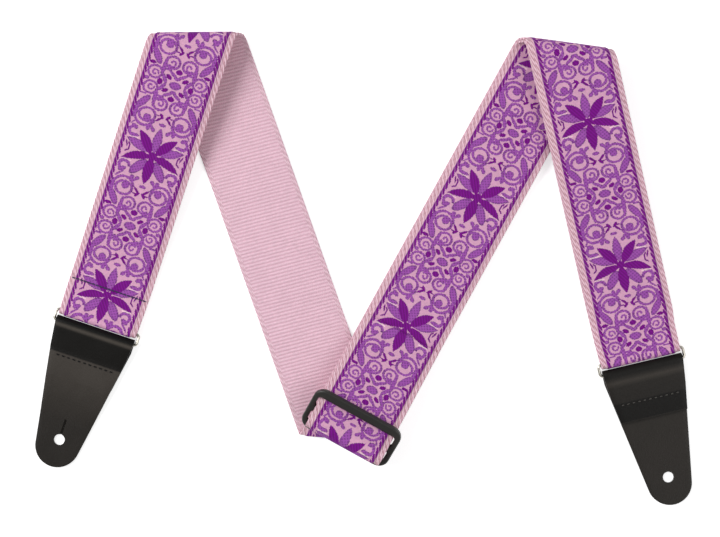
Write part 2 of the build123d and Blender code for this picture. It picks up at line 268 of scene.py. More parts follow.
def across_row(row, side, height):
    """The point of a row that lies side from its middle and height out of its back."""
    x, y, z = (Vector(row.place.col[i][:3]) for i in range(3))
    crease = x * cos(row.skew) - z * sin(row.skew)
    return row.place.translation + crease * (side * row.share / cos(row.skew)) + y * height


def fold_slope(run, skew, radius, landing, climb):
    """Angle at which a run climbs from the surface to the top of its fold."""
    ahead, over = run * cos(skew), landing + radius
    return asin((climb - landing) / hypot(ahead, over)) + atan2(over, ahead)


def between(value, marks, levels):
    """The level at value, on straight lines between the marks."""
    for i in range(1, len(marks)):
        if value < marks[i]:
            share = max(value - marks[i - 1], 0) / (marks[i] - marks[i - 1])
            return levels[i - 1] + share * (levels[i] - levels[i - 1])
    return levels[-1]


def strap_rows(s):
    """The rows of the whole strap, from the tab at the left ring to the end under the slider, those of its ribbon,
    and the row at the end of its second fold."""
    layer_step = s.webbing_thick + s.layer_gap
    loop_radius = s.ring_wire / 2 + s.ring_play + s.webbing_thick / 2
    loop_share = 0.98  # the webbing is a little narrower round a ring
    left_bar = Vector(joints["left_ring_swing"]["pos_m"])
    heading = (left_bar - Vector(joints["left_end_swing"]["pos_m"])).normalized()
    tab_end = left_bar + heading * s.tab_length - UP * loop_radius
    strap = Route(plane(tab_end, heading.cross(UP), -heading), s)
    strap.mark()
    strap.straight(s.tab_length)
    loop_run = strap.come_back(loop_radius, layer_step, loop_share)
    strap.straight(s.anchor_length - loop_run)
    climb = s.left_wall * cos(s.left_skew) + s.left_radius - layer_step
    slope = fold_slope(s.left_run, s.left_skew, s.left_radius, s.landing_radius, climb)
    strap.bend(-slope, s.landing_radius, s.left_skew)
    strap.straight(s.left_run)
    strap.bend(pi / 2 + slope, s.left_radius, s.left_skew)
    strap.straight(s.left_wall)
    strap.bend(pi / 2, s.left_radius, s.left_skew)
    back_from = len(strap.rows) - 1
    strap.straight(s.back_run)
    back_to = len(strap.rows)
    strap.bend(pi, s.low_radius, s.low_skew)
    low_fold = strap.rows[-1]
    strap.straight(s.under_layer_end)
    doubled_from = len(strap.rows)
    strap.mark()
    strap.straight(s.front_run - s.under_layer_end)
    strap.bend(-pi / 2, s.right_radius, s.right_skew)
    strap.straight(s.right_wall)
    climb = 2 * s.low_radius + s.right_wall * cos(s.right_skew) + s.right_radius
    slope = fold_slope(s.right_run, s.right_skew, s.right_radius, s.landing_radius, climb)
    strap.bend(-pi / 2 - slope, s.right_radius, s.right_skew)
    lower_from = len(strap.rows) - 1
    strap.straight(s.right_run)
    lower_to = len(strap.rows)
    strap.bend(slope, s.landing_radius, s.right_skew)
    strap.straight(s.anchor_length - loop_run)
    doubled_to = len(strap.rows)
    strap.mark()
    strap.straight(loop_run)
    strap.come_back(loop_radius, layer_step, loop_share)
    landed = strap.rows[doubled_to]
    marks = [strap.rows[i].along for i in (back_from, back_to, lower_from, lower_to)]

    # The strap turns back under itself at the right ring, and its lower layer follows the upper one
    previous = strap.place.translation
    for row in reversed(strap.rows[doubled_from:doubled_to]):
        shift = s.under_layer_shift - layer_step * (landed.twist - row.twist)
        origin = across_row(row, shift, layer_step)
        place = row.place @ Matrix.Diagonal((1, -1, -1, 1))
        place.translation = origin
        strap.along += (origin - previous).length
        previous = origin
        strap.rows.append(Row(place, -row.skew, row.share, strap.along, row.twist))
    shifts = [0, s.front_shift, s.front_shift, s.right_shift]
    ribbon_rows = [row._replace(along=row.along + between(row.along, marks, shifts)) for row in strap.rows]
    return strap.rows, ribbon_rows, low_fold


def slider_rows(s, b, fold):
    """The rows of the strap inside the slider, and of the loop round its middle bar."""
    base = fold.place @ Matrix.Translation((0, 0, b.from_fold))
    across = Vector(base.col[0][:3])
    along, up = Vector(base.col[2][:3]), -Vector(base.col[1][:3])
    half = b.thick / 2
    face_height = s.webbing_thick / 2 + s.ribbon_thick
    wrap = half + b.play + face_height
    rear_edge = -(b.middle_bar / 2 + b.rear_slot + half)
    front_edge = b.middle_bar / 2 + b.front_slot + half
    rear_end = b.middle_bar / 2 + b.rear_slot + b.rear_bar
    low_corner = (rear_end - b.rim_round) * sin(b.tilt) + (half - b.rim_round) * cos(b.tilt) + b.rim_round
    centre = base.translation + up * (face_height + b.play + low_corner)
    ahead = along * cos(b.tilt) + up * sin(b.tilt)
    out = up * cos(b.tilt) - along * sin(b.tilt)

    def start_route(x, y, turn):
        return Route(plane(centre + ahead * x + out * y, across, ahead * cos(turn) + out * sin(turn)), s)

    def tangent(dx, dy, radii):
        reach = hypot(dx, dy)
        return sqrt(reach**2 - radii**2), atan2(dy, dx) - asin(radii / reach)

    start, lean = b.crown_start, b.crown_lean
    crown_x = rear_edge + b.crown_rise * cos(lean) + (wrap + b.crown_radius) * sin(lean)
    crown_y = b.crown_rise * sin(lean) - (wrap + b.crown_radius) * cos(lean)
    down_run, down = tangent(front_edge - crown_x, -crown_y, b.crown_radius + wrap)
    front = -b.tilt - b.tail_slope
    crown = start_route(
        rear_edge + wrap * sin(start) - b.crown_lead * cos(start),
        -wrap * cos(start) - b.crown_lead * sin(start),
        start,
    )
    crown.mark()
    crown.straight(b.crown_lead)
    crown.bend(start - lean, wrap)
    crown.straight(b.crown_rise)
    crown.bend(lean - down, b.crown_radius)
    crown.straight(down_run)
    crown.bend(down - front, wrap)
    above = (crown.place.translation - base.translation).dot(up)
    tail_height = face_height + b.play + s.webbing_thick / 2
    drop = above - tail_height - b.tail_ease * (1 - cos(b.tail_slope))
    crown.straight(drop / sin(b.tail_slope))
    crown.bend(-b.tail_slope, b.tail_ease)
    crown.straight(b.tail_flat)
    crown.mark()

    # The pattern runs on into the strap at the tail
    strap_there = fold.along + b.from_fold + (crown.place.translation - base.translation).dot(along)
    passed = strap_there + s.front_shift - crown.along
    crown_rows = [row._replace(along=row.along + passed) for row in crown.rows]

    corner = hypot(b.middle_bar / 2 - b.bar_round, half - b.bar_round) + b.bar_round
    inner = corner + b.play + face_height
    outer = wrap + s.webbing_thick + b.loop_gap
    leg_run, leg = tangent(front_edge, 0, inner + outer)
    tab = pi + front + b.loop_converge
    sewn = start_route(
        -inner * sin(tab) - b.loop_tab * cos(tab),
        inner * cos(tab) - b.loop_tab * sin(tab),
        tab,
    )
    sewn.mark()
    sewn.straight(b.loop_tab)
    sewn.bend(tab - leg, inner)
    sewn.straight(leg_run)
    sewn.bend(leg - front, outer)
    sewn.straight(b.loop_leg)
    sewn.mark()
    return crown_rows, sewn.rows


# ---------------------------------------------------------------- making pieces


def deselect():
    bpy.ops.object.select_all(action="DESELECT")


def apply_modifier(piece, kind, **settings):
    modifier = piece.modifiers.new(kind.title(), kind)
    for name, setting in settings.items():
        setattr(modifier, name, setting)
    bpy.context.view_layer.objects.active = piece
    bpy.ops.object.modifier_apply(modifier=modifier.name)


def shade(piece):
    """Shades a piece as one smooth surface, apart from its sharper edges."""
    deselect()
    piece.select_set(True)
    bpy.ops.object.shade_smooth_by_angle(angle=SMOOTH_UNDER)


def strip_piece(name, rows, width, height, thickness, edge_round, materials, columns=10):
    """A flat strip, folded along its rows, with its width and length in metres as its UV map. The width may be a
    function of the row. A second material goes on the strip's back."""
    deselect()
    creases = len(rows) - 1
    bpy.ops.mesh.primitive_grid_add(x_subdivisions=columns, y_subdivisions=creases, size=1, calc_uvs=True)
    piece = bpy.context.object
    piece.name = piece.data.name = name
    mesh = piece.data
    mesh.uv_layers.active.name = "Cloth"
    flat = []
    for vertex in mesh.vertices:
        row = rows[round((vertex.co.y + 0.5) * creases)]
        side = vertex.co.x * (width(row) if callable(width) else width)
        vertex.co = across_row(row, side, height)
        flat.append((side, row.along - side * tan(row.skew)))
    layer = mesh.uv_layers.active.data
    for loop in mesh.loops:
        layer[loop.index].uv = flat[loop.vertex_index]
    for material in materials:
        mesh.materials.append(material)
    other_side = len(materials) - 1
    walls = dict(thickness=thickness, offset=0, use_even_offset=True, material_offset=other_side)
    apply_modifier(piece, "SOLIDIFY", **walls)
    apply_modifier(piece, "BEVEL", width=edge_round, segments=3, limit_method="ANGLE", angle_limit=ROUND_OVER)
    shade(piece)
    return piece


def cut_out(piece, cutter):
    """Cuts the cutter's shape out of the piece, and deletes the cutter."""
    apply_modifier(piece, "BOOLEAN", operation="DIFFERENCE", solver="EXACT", object=cutter)
    bpy.data.objects.remove(cutter)
    shade(piece)


def dress(piece, material):
    """Gives a piece its material in place of any that it has."""
    piece.data.materials.clear()
    piece.data.materials.append(material)


def strap_pair(context, prefix, body, rows, ribbon_rows, face, replaced):
    """Webbing and its jacquard ribbon along the same rows. The ribbon lies on the side that face gives."""
    s, c = context.scene.strap_sizes, context.scene.strap_colours
    sides = [webbing_finish(c, face < 0), webbing_finish(c, face > 0)]
    jacquard = [jacquard_finish(c, s.pattern_repeat, s.pattern_start)]
    webbing = strip_piece(prefix + "_webbing", rows, s.webbing_width, 0, s.webbing_thick, s.edge_round, sides)
    height, ribbon_round = face * (s.webbing_thick + s.ribbon_thick) / 2, s.ribbon_thick / 3
    ribbon = strip_piece(
        prefix + "_ribbon", ribbon_rows, s.ribbon_width, height, s.ribbon_thick, ribbon_round, jacquard
    )
    for piece, node, slot, width in (
        (webbing, replaced[0], "webbing", s.webbing_width),
        (ribbon, replaced[1], "jacquard", s.ribbon_width),
    ):
        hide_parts(node)
        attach(piece, body)


# ---------------------------------------------------------------- finishes


class Draft:
    """Adds nodes to a tree. A value is a number or another node's socket."""

    def __init__(self, tree):
        self.tree = tree

    def node(self, kind, values=(), output=0, **settings):
        made = self.tree.nodes.new("ShaderNode" + kind)
        for name, setting in settings.items():
            setattr(made, name, setting)
        for socket, value in values.items() if isinstance(values, dict) else enumerate(values):
            self.plug(value, made.inputs[socket])
        return made.outputs[output]

    def plug(self, value, socket):
        if isinstance(value, bpy.types.NodeSocket):
            self.tree.links.new(value, socket)
        else:
            socket.default_value = value

    def math(self, operation, *values):
        return self.node("Math", values, operation=operation)

    # size is a value without its sign, and is_over and is_under give 1 for yes and 0 for no
    plus = partialmethod(math, "ADD")
    minus = partialmethod(math, "SUBTRACT")
    times = partialmethod(math, "MULTIPLY")
    times_plus = partialmethod(math, "MULTIPLY_ADD")
    divided = partialmethod(math, "DIVIDE")
    size = partialmethod(math, "ABSOLUTE")
    least = partialmethod(math, "MINIMUM")
    most = partialmethod(math, "MAXIMUM")
    is_over = partialmethod(math, "GREATER_THAN")
    is_under = partialmethod(math, "LESS_THAN")
    wrap = partialmethod(math, "WRAP")

    def split(self, vector):
        apart = self.tree.nodes.new("ShaderNodeSeparateXYZ")
        self.plug(vector, apart.inputs[0])
        return apart.outputs[0], apart.outputs[1]

    def pair(self, x, y):
        return self.node("CombineXYZ", (x, y))

    def millimetres(self, vector):
        return self.node("VectorMath", (vector, (1000, 1000, 1000)), operation="MULTIPLY")

    def wave(self, turns, sharpness):
        """A line that repeats once a turn: 1 at its middle, 0 between lines."""
        swing = self.math("COSINE", self.times(turns, 2 * pi))
        return self.math("POWER", self.times_plus(swing, 0.5, 0.5), sharpness)

    def blend(self, amount, first, second, mode="MIX"):
        made = self.tree.nodes.new("ShaderNodeMix")
        made.data_type = "RGBA"
        made.blend_type = mode
        self.plug(amount, made.inputs["Factor"])
        # Inputs 6 and 7 and output 2 are the ones for colours
        self.plug(first, made.inputs[6])
        self.plug(second, made.inputs[7])
        return made.outputs[2]

    def shaded(self, colour, amount):
        """The colour, darker or lighter by an amount that changes over the surface."""
        grey = self.node("CombineColor", (amount, amount, amount))
        return self.blend(1.0, colour, grey, "MULTIPLY")

    def noise(self, vector, scale, detail):
        return self.node("TexNoise", {"Vector": vector, "Scale": scale, "Detail": detail})

    # Shapes, in millimetres. Each value is under 1 inside the shape.

    def placed(self, at, x, y, wide, high, turn=0):
        values = at, (x, y, 0), (0, 0, radians(turn)), (wide, high, 1)
        return self.node("Mapping", values, vector_type="TEXTURE")

    def reach(self, vector):
        return self.node("VectorMath", (vector,), output="Value", operation="LENGTH")

    def oval(self, at, x, y, wide, high, turn=0):
        return self.reach(self.placed(at, x, y, wide, high, turn))

    def box(self, at, x, y, wide, high):
        across, along = self.split(self.placed(at, x, y, wide, high))
        return self.most(self.size(across), self.size(along))

    def arc(self, at, x, y, wide, high, line, turn=0, sweep=190):
        """Part of an oval line. It faces the way of turn, and reaches sweep degrees to each side."""
        placed = self.placed(at, x, y, wide, high, turn)
        across, along = self.split(placed)
        off = self.size(self.minus(self.reach(placed), 1))
        off = self.times(off, (wide + high) / line)
        angle = self.size(self.math("ARCTAN2", along, across))
        return self.most(off, self.times(angle, 1 / radians(sweep)))

    def curl(self, at, x, y, inner, outer, line, turn):
        """One turn of a spiral, from inner to outer."""
        placed = self.placed(at, x, y, 1, 1, turn)
        across, along = self.split(placed)
        angle = self.math("ARCTAN2", along, across)
        middle = self.times_plus(angle, (outer - inner) / (2 * pi), (inner + outer) / 2)
        off = self.size(self.minus(self.reach(placed), middle))
        return self.times(off, 2 / line)

    def petal(self, at, x, y, long, wide, turn, arch=0):
        """A petal with two points. long and wide reach from its middle, and arch bends it."""
        ahead, side = self.split(self.placed(at, x, y, long, wide, turn))
        square = self.times(ahead, ahead)
        side = self.times_plus(square, arch, side)
        return self.plus(self.size(side), square)

    def union(self, at, shapes, nearest=None):
        """All the shapes together, and what came before them."""
        for kind, *sizes in shapes:
            shape = getattr(self, kind)(at, *sizes)
            nearest = self.least(nearest, shape) if nearest else shape
        return nearest

    def inside(self, shape):
        return self.is_under(shape, 1)


def node_group(name, vector, numbers, outputs):
    """A shader node group, whose named inputs are a vector and numbers, and the draft that fills it."""
    group = bpy.data.node_groups.new(name, "ShaderNodeTree")
    group.interface.new_socket(vector, in_out="INPUT", socket_type="NodeSocketVector")
    for sockets, in_out in ((numbers, "INPUT"), (outputs, "OUTPUT")):
        for socket in sockets:
            group.interface.new_socket(socket, in_out=in_out, socket_type="NodeSocketFloat")
    entry = group.nodes.new("NodeGroupInput")
    leave = group.nodes.new("NodeGroupOutput")
    return group, Draft(group), entry.outputs, leave.inputs


# The ribbon's scrollwork and its flower, in millimetres. x runs from the middle to the edge, and y along the cloth
# from the middle of the medallion or the flower. The first two are mirrored both ways, the others only sideways.
SCROLL_LILAC = (
    ("oval", 0, 0, 3.7, 2.4),
    ("oval", 0, 4.2, 2.0, 1.0),
    ("oval", 3.0, 6.2, 3.4, 1.0, 32),
    ("oval", 7.2, 8.4, 2.6, 0.7),
    ("arc", 5.3, 13.0, 4.2, 3.6, 1.45),
    ("curl", 5.2, 12.7, 0.7, 2.4, 1.15, 150),
    ("arc", 14.0, 4.9, 4.2, 3.7, 1.4),
    ("curl", 14.0, 4.3, 0.6, 2.3, 1.1, 20),
    ("oval", 9.6, 9.6, 1.3, 6.4, 3),
    ("oval", 7.4, 2.6, 3.4, 1.2, 56),
    ("arc", 10.8, 21.2, 5.0, 4.0, 1.55),
    ("oval", 10.3, 22.9, 2.5, 2.2),
    ("arc", 11.6, 21.5, 6.5, 6.4, 1.6, 75, 90),
    ("oval", 15.5, 14.4, 5.6, 2.2, 54),
    ("oval", 18.0, 20.4, 5.0, 1.3, 87),
    ("oval", 8.0, 28.6, 1.4, 1.7),
    ("oval", 4.8, 29.0, 1.6, 1.2, -35),
    ("oval", 6.5, 27.3, 1.9, 0.9, -30),
    ("oval", 0, 24.9, 2.2, 1.0),
    ("oval", 17.7, 0.3, 1.5, 0.8),
)
SCROLL_PURPLE = (
    ("oval", 0, 8.4, 2.1, 1.7),
    ("oval", 9.6, 0, 1.7, 2.0),
    ("oval", 5.1, 4.1, 2.1, 1.2, 30),
    ("oval", 3.0, 21.9, 2.4, 0.75, 42),
    ("oval", 2.0, 19.6, 1.9, 0.85, -47),
    ("oval", 3.8, 19.8, 1.3, 0.4, 8),
)
SCROLL_BAR_LILAC = (("box", 16.9, -9.5, 1.9, 0.55),)
SCROLL_BAR_PURPLE = (("oval", 17.1, 10.0, 2.2, 1.0),)
FLOWER_PURPLE = (
    ("petal", 0, -8.8, 9.0, 3.2, 90),
    ("petal", 9.0, -2.0, 9.7, 2.5, -16, 0.58),
    ("petal", 6.0, 7.2, 8.4, 2.9, 50, 0.25),
    ("oval", 0, 0.6, 2.4, 1.6),
    ("oval", 17.2, 3.2, 2.3, 0.5, 69),
    ("oval", 15.6, 3.3, 1.4, 0.5, 50),
    ("oval", 15.0, 1.2, 2.0, 0.45, 88),
    ("oval", 16.0, -0.9, 1.5, 0.5, -40),
)
FLOWER_LILAC = (
    ("petal", 0, 9.6, 8.2, 2.8, 90),
    ("petal", 9.8, 4.3, 8.6, 2.7, 17),
    ("oval", 6.5, -8.3, 6.5, 2.9, -52),
    ("arc", 14.6, -10.3, 3.3, 2.9, 2.0, 40, 140),
    ("oval", 15.3, -12.4, 2.5, 1.4, -30),
    ("oval", 14.6, 9.3, 3.2, 1.0),
    ("arc", 15.1, 11.6, 3.0, 2.8, 1.9, -20, 130),
    ("oval", 15.6, 14.3, 2.4, 1.3, 25),
    ("oval", 17.2, 16.9, 2.0, 0.5, -52),
    ("oval", 16.2, -15.6, 3.0, 0.6, -43),
)
FLOWER_PALE = (("box", 14.2, -6.4, 2.9, 0.3), ("box", 14.4, 7.8, 3.0, 0.3))


def jacquard_group():
    """The ribbon's pattern, one repeat after another along the cloth, in steps of one thread."""
    inputs, outputs = ("Repeat", "Start"), ("Lilac", "Purple", "Pale", "Shade")
    group, d, given, out = node_group("Jacquard Pattern", "Cloth", inputs, outputs)
    thread = 0.42
    stepped = d.node("VectorMath", (d.millimetres(given["Cloth"]), (thread, thread, 1)), operation="SNAP")
    across, along = d.split(stepped)
    across = d.plus(across, thread / 2)
    x = d.size(across)
    half_repeat = d.times(given["Repeat"], 0.5)
    before = d.times(half_repeat, -1)
    from_flower = d.minus(along, given["Start"])
    flower = d.pair(x, d.wrap(from_flower, half_repeat, before))
    y = d.wrap(d.minus(from_flower, half_repeat), half_repeat, before)
    scroll = d.pair(x, y)
    quarter = d.pair(x, d.size(y))

    # The twisted border line at each edge
    turn_length, turn_slope = 3.95, 1.7
    border_out, border_in = 20.8, 18.9
    gap_depth, gap_sharpness = 0.55, 8
    twist = d.times(d.times_plus(across, turn_slope, along), 1 / turn_length)
    border = d.minus(d.minus(border_out, d.wave(twist, 0.5)), x)
    in_border = d.times(d.is_over(x, border_in), gap_depth)
    gaps = d.times(in_border, d.wave(d.plus(twist, 0.5), gap_sharpness))

    purple = d.union(quarter, SCROLL_PURPLE, border)
    purple = d.union(scroll, SCROLL_BAR_PURPLE, purple)
    purple = d.union(flower, FLOWER_PURPLE, purple)
    lilac = d.union(quarter, SCROLL_LILAC)
    lilac = d.union(scroll, SCROLL_BAR_LILAC, lilac)
    lilac = d.union(flower, FLOWER_LILAC, lilac)
    is_purple = d.inside(purple)
    is_lilac = d.times(d.inside(lilac), d.minus(1, is_purple))
    d.plug(d.times(is_purple, d.minus(1, gaps)), out["Purple"])
    d.plug(is_lilac, out["Lilac"])
    d.plug(d.inside(d.union(flower, FLOWER_PALE)), out["Pale"])

    # Darker rims and pricks in the lilac, and satin rows in the purple
    rim_sharpness, prick_depth = 6, 1.3
    twill_x, twill_y, cross_x, cross_y = 0.5, 0.36, -0.3, 0.55  # lines for each millimetre
    rim = d.math("POWER", d.least(d.least(lilac, purple), 1), rim_sharpness)
    twill = d.wave(d.times_plus(across, twill_x, d.times(along, twill_y)), 1)
    pricks = d.times(twill, d.wave(d.times_plus(across, cross_x, d.times(along, cross_y)), 1))
    in_lilac = d.times(is_lilac, d.times_plus(pricks, prick_depth, rim))
    d.plug(d.plus(in_lilac, d.times(is_purple, twill)), out["Shade"])
    return group


def webbing_group():
    """Cords across the webbing, which turn steeply into its selvedges. Hand is 1 or -1, for the way that they lean,
    and Edge is where the selvedges' lines begin."""
    inputs, outputs = ("Hand", "Edge"), ("Line", "Edge Line", "Height")
    group, d, given, out = node_group("Webbing Cords", "Cloth", inputs, outputs)
    cord, cord_slope, wander_share = 2.1, 0.04, 0.25
    u, v = d.split(d.millimetres(given["Cloth"]))
    side = d.size(u)
    handed = d.times(u, given["Hand"])
    wander = d.noise(d.pair(d.times(u, 0.08), d.times(v, 0.3)), 1.0, 2.0)
    rows = d.times_plus(wander, wander_share, d.times_plus(handed, cord_slope, d.times(v, 1 / cord)))
    middle = d.wave(rows, 1.2)

    # The selvedge has two columns of steep cords, with a groove between them
    groove_at, groove_half, groove_depth = 23.4, 0.45, 0.35
    edge_cord, edge_slope = 4.15, 2.6
    column = d.times(d.is_over(side, groove_at), 0.5)
    turns = d.plus(d.times(d.plus(v, d.times(handed, edge_slope)), 1 / edge_cord), column)
    from_groove = d.size(d.minus(side, groove_at))
    groove = d.node("MapRange", (from_groove, 0.0, groove_half, groove_depth, 0.0))
    cords = d.most(d.wave(turns, 2), groove)
    at_edge = d.is_over(side, given["Edge"])
    inner = d.minus(1, at_edge)

    # Each line between two cords is broken, half a break further on from row to row
    break_length, break_strength = 1.15, 0.4
    row_number = d.math("FLOOR", d.plus(rows, 0.5))
    breaks = d.wave(d.times_plus(row_number, 0.5, d.times(u, 1 / break_length)), 1.5)
    d.plug(d.times(d.times_plus(breaks, break_strength, middle), inner), out["Line"])
    d.plug(d.times(cords, at_edge), out["Edge Line"])
    d.plug(d.minus(1, d.plus(d.times(middle, inner), d.times(cords, at_edge))), out["Height"])
    return group


def thread_group():
    """The fine threads of a woven surface: their height, and a slight unevenness from thread to thread."""
    inputs, outputs = ("Across", "Along"), ("Height", "Unevenness")
    group, d, given, out = node_group("Threads", "Cloth", inputs, outputs)
    u, v = d.split(given["Cloth"])
    warp, weft = d.divided(u, given["Across"]), d.divided(v, given["Along"])
    d.plug(d.times(d.wave(d.plus(warp, d.times(weft, 0.5)), 1), d.wave(weft, 1)), out["Height"])
    one_thread = d.node("VectorMath", (d.pair(warp, weft),), operation="FLOOR")
    fleck = d.node("TexWhiteNoise", (one_thread,), noise_dimensions="2D")
    cloud = d.noise(given["Cloth"], 90.0, 3.0)
    d.plug(d.times_plus(fleck, 0.5, d.times(cloud, 0.5)), out["Unevenness"])
    return group


def unevenness_group():
    """The slight unevenness of a handled surface: broad patches, fine grain, and both as a height."""
    inputs, outputs = ("Patch", "Grain"), ("Patches", "Grain", "Height")
    group, d, given, out = node_group("Unevenness", "Place", inputs, outputs)
    place = given["Place"]
    patches = d.noise(place, d.divided(1, given["Patch"]), 4.0)
    cells = d.node("TexVoronoi", {"Vector": place, "Scale": d.divided(1, given["Grain"])})
    fine = d.noise(place, d.divided(2, given["Grain"]), 3.0)
    grain = d.times_plus(fine, 0.6, d.times(d.minus(1, cells), 0.4))
    d.plug(patches, out["Patches"])
    d.plug(grain, out["Grain"])
    d.plug(d.times_plus(patches, 0.5, grain), out["Height"])
    return group


def use_group(d, name, make, **values):
    """Places a node group, which is made once and used by every material that needs it."""
    placed = d.tree.nodes.new("ShaderNodeGroup")
    placed.node_tree = bpy.data.node_groups.get(name) or make()
    for socket, value in values.items():
        d.plug(value, placed.inputs[socket])
    return placed.outputs


def cloth_map(d):
    return d.node("UVMap", uv_map="Cloth")


def finish(name, roughness, specular=0.5, metallic=0.0):
    """A new material: its draft, the principled surface, and the material itself."""
    material = bpy.data.materials.new(name)
    material.use_nodes = True
    surface = material.node_tree.nodes["Principled BSDF"].inputs
    surface["Roughness"].default_value = roughness
    surface["Specular IOR Level"].default_value = specular
    surface["Metallic"].default_value = metallic
    return Draft(material.node_tree), surface, material


def raise_surface(d, surface, height, distance):
    d.plug(d.node("Bump", {"Strength": 1.0, "Distance": distance, "Height": height}), surface["Normal"])


def webbing_finish(colours, on_face):
    """Pale webbing. Its face has steeper, darker selvedge lines than its back."""
    name = "webbing_face" if on_face else "webbing_back"
    if name in bpy.data.materials:
        return bpy.data.materials[name]
    hand, edge, edge_strength = (1.0, 21.0, 0.85) if on_face else (-1.0, 22.3, 0.45)
    line_strength, tint_spread = 0.65, 0.26
    d, surface, material = finish(name, 0.85, 0.15)
    cloth = cloth_map(d)
    cords = use_group(d, "Webbing Cords", webbing_group, Cloth=cloth, Hand=hand, Edge=edge)
    threads = use_group(d, "Threads", thread_group, Cloth=cloth, Across=0.0007, Along=0.00053)
    base = d.blend(d.times(cords["Line"], line_strength), colours.webbing_pale, colours.webbing_line)
    base = d.blend(d.times(cords["Edge Line"], edge_strength), base, colours.webbing_deep)
    tint = d.times_plus(threads["Unevenness"], tint_spread, 1 - tint_spread / 2)
    d.plug(d.shaded(base, tint), surface["Base Color"])
    raise_surface(d, surface, d.times_plus(threads["Height"], 0.25, cords["Height"]), 0.00025)
    return material


def jacquard_finish(colours, repeat, start):
    """The ribbon's weave, with its pattern's repeat and start in metres."""
    if "jacquard_weave" in bpy.data.materials:
        return bpy.data.materials["jacquard_weave"]
    shade_strength, mottle_strength, tint_spread, tint_least = 0.4, 0.2, 0.3, 0.9
    d, surface, material = finish("jacquard_weave", 0.7, 0.2)
    cloth = cloth_map(d)
    repeat, start = repeat * 1000, start * 1000
    pattern = use_group(d, "Jacquard Pattern", jacquard_group, Cloth=cloth, Repeat=repeat, Start=start)
    threads = use_group(d, "Threads", thread_group, Cloth=cloth, Across=0.00084, Along=0.00042)
    base = d.blend(pattern["Lilac"], colours.ground, colours.lilac)
    base = d.blend(pattern["Pale"], base, colours.webbing_pale)
    base = d.blend(pattern["Purple"], base, colours.purple)
    mottle = d.times(d.noise(cloth, 700.0, 1.0), pattern["Lilac"])
    shade = d.plus(d.times(pattern["Shade"], shade_strength), d.times(mottle, mottle_strength))
    tint = d.minus(d.times_plus(threads["Unevenness"], tint_spread, tint_least), shade)
    d.plug(d.shaded(base, tint), surface["Base Color"])
    raise_surface(d, surface, threads["Height"], 0.00012)
    return material


def fold_highlight_and_tone(d, fold, lead, stops):
    """How bright a folded strip is painted at each distance from its fold: a painted highlight band, and darker and
    lighter stretches. The stops are in millimetres, straight from the fold's outside. lead is how much further that
    is than the way along the strip from the fold's middle."""
    farthest = 0.09
    _, along = d.split(cloth_map(d))
    distance = d.plus(d.size(d.minus(along, fold)), lead)
    made = d.tree.nodes.new("ShaderNodeValToRGB")
    d.plug(d.divided(distance, farthest), made.inputs[0])
    for i, (place, amount) in enumerate(stops):
        stop = made.color_ramp.elements[i] if i < 2 else made.color_ramp.elements.new(1)
        stop.position = place / 1000 / farthest
        stop.color = (amount, amount, amount, 1)
    return made.outputs[0]


# How a handled surface shines and feels: its roughness, how far that varies, and its patches, grain and relief in
# metres
BLACK_LEATHER = dict(roughness=0.4, spread=0.2, patch=0.012, grain=0.0009, relief=0.00011, specular=0.17)
PLATED_WIRE = dict(roughness=0.24, spread=0.12, patch=0.006, grain=0.0008, relief=0.00001, metallic=1.0)
MOULDED_PLASTIC = dict(roughness=0.36, spread=0.12, patch=0.01, grain=0.0006, relief=0.00002)


def handled_finish(name, dark, light, roughness, spread, patch, grain, relief, highlight_and_tone=None, **plain):
    """A tanned, plated or moulded surface, uneven in colour, in gloss and to the touch."""
    d, surface, material = finish(name, roughness, **plain)
    place = d.node("TexCoord", output="Object")
    uneven = use_group(d, "Unevenness", unevenness_group, Place=place, Patch=patch, Grain=grain)
    mixed = d.times_plus(uneven["Grain"], 0.5, d.times(uneven["Patches"], 0.5))
    if highlight_and_tone:
        # Past a fold, the colour carries a painted highlight band and darker and lighter stretches along the strip
        mixed = d.times(fold_highlight_and_tone(d, *highlight_and_tone), d.times_plus(mixed, 0.6, 0.7))
    d.plug(d.blend(mixed, dark, light), surface["Base Color"])
    d.plug(d.times_plus(uneven["Patches"], spread, roughness - spread / 2), surface["Roughness"])
    raise_surface(d, surface, uneven["Height"], relief)
    return material


def thread_finish(name, shade, light, plies_x=1.9, plies_y=1.3):
    """Twisted sewing thread, with its plies for each millimetre in x and y. The plies are painted in the light
    colour:
    a painted highlight on the black and navy threads, and the pale second colour of the ribbon's seam thread.
    """
    d, surface, material = finish(name, 0.6, 0.3)
    place = d.millimetres(d.node("TexCoord", output="Object"))
    x, y = d.split(place)
    plies = d.wave(d.times_plus(x, plies_x, d.times(y, plies_y)), 1)
    uneven = use_group(d, "Unevenness", unevenness_group, Place=place, Patch=2.0, Grain=0.3)
    lit = d.times(plies, d.times_plus(uneven["Grain"], 0.5, 0.5))
    d.plug(d.blend(lit, shade, light), surface["Base Color"])
    raise_surface(d, surface, plies, 0.00008)
    return material


# ---------------------------------------------------------------- pieces


class STRAP_OT_webbing(Operator):
    """Make the webbing and its ribbon, folded as laid out"""

    bl_idname = "guitar_strap.webbing"
    bl_label = "Webbing and Ribbon"

    def execute(self, context):
        rows, ribbon_rows, _ = strap_rows(context.scene.strap_sizes)
        nodes, rings = ("webbing", "jacquard_ribbon"), ["left_ring", "right_ring"]
        strap_pair(context, "strap", "strap", rows, ribbon_rows, -1, nodes)
        return {"FINISHED"}


class STRAP_OT_slider_webbing(Operator):
    """Make the webbing inside the slider and the loop sewn to its middle bar"""

    bl_idname = "guitar_strap.slider_webbing"
    bl_label = "Webbing in the Slider"

    def execute(self, context):
        *_, fold = strap_rows(context.scene.strap_sizes)
        crown, sewn = slider_rows(context.scene.strap_sizes, context.scene.slider_sizes, fold)
        for prefix, rows, face, nodes in (
            ("slider", crown, -1, ("crown_webbing", "crown_ribbon")),
            ("sewn_loop", sewn, 1, ("loop_webbing", "loop_ribbon")),
        ):
            strap_pair(context, prefix, "slider_group", rows, rows, face, nodes)
        return {"FINISHED"}
